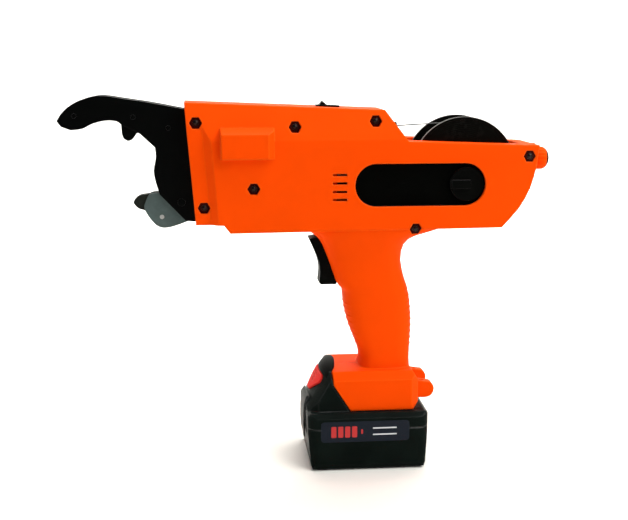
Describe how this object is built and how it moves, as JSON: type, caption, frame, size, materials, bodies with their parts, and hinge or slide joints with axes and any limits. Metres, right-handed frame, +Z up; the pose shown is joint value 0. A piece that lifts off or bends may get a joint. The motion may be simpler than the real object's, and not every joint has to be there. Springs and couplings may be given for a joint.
{
  "type": "rebar tying tool",
  "caption": "Pistol-grip cordless tool that stands on its slide-on battery; hooked jaws curl wire from a top spool round crossed bars and a geared hook twists it tight.",
  "frame": {"origin": "centre of the battery pack's flat base, on which the tool stands", "axes": "+X to the tool's rear, along its length; +Y to its right; +Z up from the base"},
  "size_m": [0.3226, 0.066, 0.2465],
  "materials": {
    "orange_shell": "satin moulded shell",
    "black_plastic": "fine grained black moulding",
    "black_gloss": "glossy black moulding",
    "black_steel": "gloss black coated steel",
    "grey_steel": "bare bead-blasted steel",
    "bright_steel": "zinc plated steel",
    "wire": "annealed tie wire",
    "bronze": "machined bronze",
    "contact_brass": "stamped contact brass",
    "motor_can": "plated motor can",
    "board": "green circuit board",
    "cell_wrap": "wrapped cell",
    "red_plastic": "red moulded button"
  },
  "bodies": {
    "tool": {"left_housing": "orange_shell", "right_housing": "orange_shell", "left_panel": "black_plastic", "right_panel": "black_plastic", "housing_bolts": "black_steel", "housing_nuts": "black_steel", "left_head_plate": "black_steel", "right_head_plate": "black_steel", "curl_guide": "black_steel", "head_spacers": "black_steel", "cutter_die": "bright_steel", "guide_tube": "bright_steel", "inlet_bush": "black_plastic", "tie_wire": "wire", "jaw_pin": "black_steel", "shaft_bearing": "bronze", "gearbox": "motor_can", "twist_motor": "motor_can", "idler_pin": "bright_steel", "feed_motor": "motor_can", "spool_axle": "bright_steel", "trigger_pin": "bright_steel", "trigger_switch": "black_plastic", "rocker_body": "black_gloss", "torque_pot": "board", "control_board": "board", "lanyard_eyes": "orange_shell", "terminal_block": "black_plastic", "terminal_blades": "contact_brass", "trigger_spring": "bright_steel"},
    "lower_jaw": {"jaw_plates": "grey_steel", "jaw_guide": "black_steel", "jaw_rivets": "bright_steel", "jaw_spring": "bright_steel"},
    "twister": {"twist_shaft": "bright_steel", "twist_hooks": "bright_steel"},
    "feed_drive": {"feed_shaft": "bright_steel", "feed_wheel": "bright_steel", "feed_gear": "bronze"},
    "feed_idler": {"idler_wheel": "bright_steel"},
    "feed_driver": {"feed_pinion": "bronze"},
    "wire_reel": {"spool": "black_gloss", "wire_winding": "wire"},
    "spool_lock": {"lock_knob": "black_plastic"},
    "trigger": {"trigger": "black_plastic"},
    "rocker": {"rocker": "black_gloss"},
    "torque_dial": {"torque_knob": "orange_shell"},
    "battery": {"pack_tub": "black_plastic", "pack_cover": "black_plastic", "pack_cells": "cell_wrap", "pack_board": "board", "pack_contacts": "contact_brass", "pack_screws": "bright_steel", "release_springs": "bright_steel"},
    "release": {"release_button": "red_plastic"}
  },
  "joints": [
    {"name": "lower_jaw_hinge", "type": "hinge", "parent": "tool", "child": "lower_jaw", "pos_m": [-0.1205, 0, 0.178], "axis": [0, -1, 0], "range_deg": [0, 25], "stiffness_Nm_per_rad": 0.25, "springref_deg": -20.05},
    {"name": "twist_spin", "type": "hinge", "parent": "tool", "child": "twister", "pos_m": [-0.08, 0, 0.1995], "axis": [1, 0, 0], "continuous": true},
    {"name": "feed_spin", "type": "hinge", "parent": "tool", "child": "feed_drive", "pos_m": [-0.0775, 0, 0.2145], "axis": [0, 1, 0], "continuous": true},
    {"name": "idler_spin", "type": "hinge", "parent": "tool", "child": "feed_idler", "pos_m": [-0.0775, 0, 0.2275], "axis": [0, 1, 0], "continuous": true},
    {"name": "pinion_spin", "type": "hinge", "parent": "tool", "child": "feed_driver", "pos_m": [-0.05861, 0, 0.2125], "axis": [0, 1, 0], "continuous": true},
    {"name": "spool_spin", "type": "hinge", "parent": "tool", "child": "wire_reel", "pos_m": [0.064, 0, 0.198], "axis": [0, 1, 0], "continuous": true},
    {"name": "spool_lock_turn", "type": "hinge", "parent": "tool", "child": "spool_lock", "pos_m": [0.0639, -0.022, 0.1897], "axis": [0, -1, 0], "range_deg": [0, 90]},
    {"name": "trigger_pull", "type": "hinge", "parent": "tool", "child": "trigger", "pos_m": [-0.0245, 0, 0.154], "axis": [0, -1, 0], "range_deg": [0, 9], "stiffness_Nm_per_rad": 0.6, "springref_deg": -5.73, "deforming": ["trigger_spring"]},
    {"name": "rocker_tilt", "type": "hinge", "parent": "tool", "child": "rocker", "pos_m": [-0.02502, 0, 0.23824], "axis": [0, -1, 0], "range_deg": [0, 40]},
    {"name": "torque_turn", "type": "hinge", "parent": "tool", "child": "torque_dial", "pos_m": [0.119, 0, 0.204], "axis": [1, 0, 0], "range_deg": [-135, 135]},
    {"name": "battery_slide", "type": "slide", "parent": "tool", "child": "battery", "axis": [-1, 0, 0], "range_m": [0, 0.065]},
    {"name": "release_press", "type": "slide", "parent": "battery", "child": "release", "axis": [0.866, 0, -0.5], "range_m": [0, 0.002], "stiffness_N_per_m": 800, "springref_m": -0.002, "deforming": ["release_springs"]}
  ],
  "couplings": [
    {"joint": "idler_spin", "follows": "feed_spin", "ratio": -1},
    {"joint": "pinion_spin", "follows": "feed_spin", "ratio": -2.8}
  ]
}
